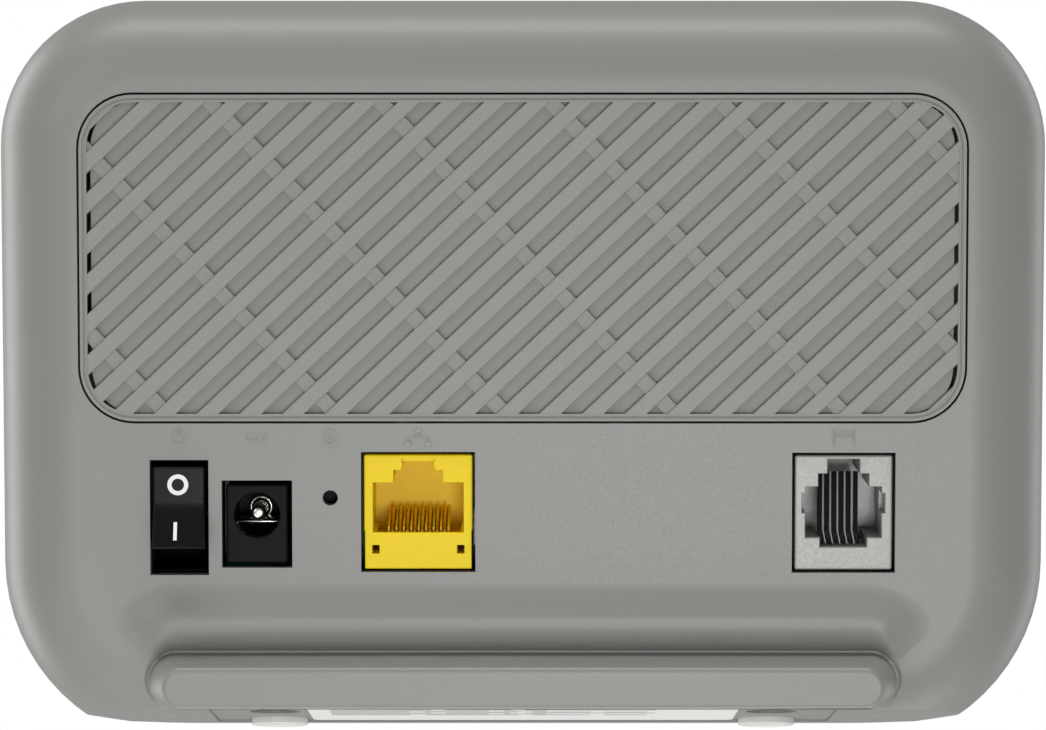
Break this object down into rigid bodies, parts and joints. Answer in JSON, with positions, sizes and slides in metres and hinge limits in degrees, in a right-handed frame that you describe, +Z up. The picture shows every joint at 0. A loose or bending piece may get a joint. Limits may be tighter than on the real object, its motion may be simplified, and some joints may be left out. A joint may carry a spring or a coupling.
{
  "type": "dsl modem",
  "caption": "Upright DSL modem with a slatted vent, rocker switch, power inlet, reset hole, network socket and line socket on its leaning rear face.",
  "frame": {"origin": "on the desk plane, under the middle of the part's bounding box", "axes": "+Z up, +X to the right when facing the ports, -Y out of the port side"},
  "size_m": [0.144, 0.053, 0.0995],
  "materials": {
    "case_abs": "satin",
    "foot_silicone": "matte",
    "label_film": "matte",
    "board_laminate": "satin",
    "zinc_steel": "satin",
    "yellow_plastic": "satin",
    "grey_plastic": "satin",
    "gold_contact": "gloss",
    "black_plastic": "satin",
    "rocker_plastic": "gloss",
    "nickel_brass": "gloss",
    "tinned_steel": "satin",
    "white_print": "matte",
    "chip_epoxy": "matte",
    "silicone_pad": "matte",
    "extruded_aluminium": "satin",
    "ferrite": "matte",
    "fuse_resin": "matte",
    "capacitor_sleeve": "gloss",
    "ceramic": "matte",
    "led_resin": "gloss",
    "clear_plastic": "gloss",
    "window_plastic": "gloss"
  },
  "bodies": {
    "chassis": {"rear_housing": "case_abs", "front_housing": "case_abs", "vent_grille": "case_abs", "vent_baffle": "case_abs", "rubber_feet": "foot_silicone", "rating_label": "label_film", "main_pcb": "board_laminate", "pcb_screws": "zinc_steel", "eth_jack_housing": "yellow_plastic", "eth_jack_contacts": "gold_contact", "dsl_jack_housing": "grey_plastic", "dsl_jack_contacts": "gold_contact", "dc_jack_body": "black_plastic", "dc_jack_pin": "nickel_brass", "dc_jack_spring": "nickel_brass", "switch_frame": "black_plastic", "switch_terminals": "tinned_steel", "reset_switch_body": "black_plastic", "reset_switch_cover": "tinned_steel", "reset_switch_legs": "tinned_steel", "soc_chip": "chip_epoxy", "thermal_pad": "silicone_pad", "heat_sink": "extruded_aluminium", "memory_chip": "chip_epoxy", "flash_chip": "chip_epoxy", "ethernet_transformer": "chip_epoxy", "line_transformer": "ferrite", "line_driver_chip": "chip_epoxy", "surge_arrester": "nickel_brass", "line_fuse": "fuse_resin", "power_inductors": "ferrite", "electrolytic_capacitors": "capacitor_sleeve", "voltage_regulator": "chip_epoxy", "crystal_can": "nickel_brass", "chip_capacitors": "ceramic", "status_leds": "led_resin", "light_guide": "clear_plastic", "indicator_window": "window_plastic"},
    "rocker": {"switch_rocker": "rocker_plastic", "rocker_marks": "white_print"},
    "reset_button": {"reset_plunger": "black_plastic"}
  },
  "joints": [
    {"name": "rocker_hinge", "type": "hinge", "parent": "chassis", "child": "rocker", "pos_m": [-0.0469, -0.00651, 0.0275], "axis": [1, 0, 0], "range_deg": [0, 24]},
    {"name": "reset_slide", "type": "slide", "parent": "chassis", "child": "reset_button", "axis": [0, 0.9703, 0.2419], "range_m": [0, 0.0003], "stiffness_N_per_m": 2000}
  ]
}
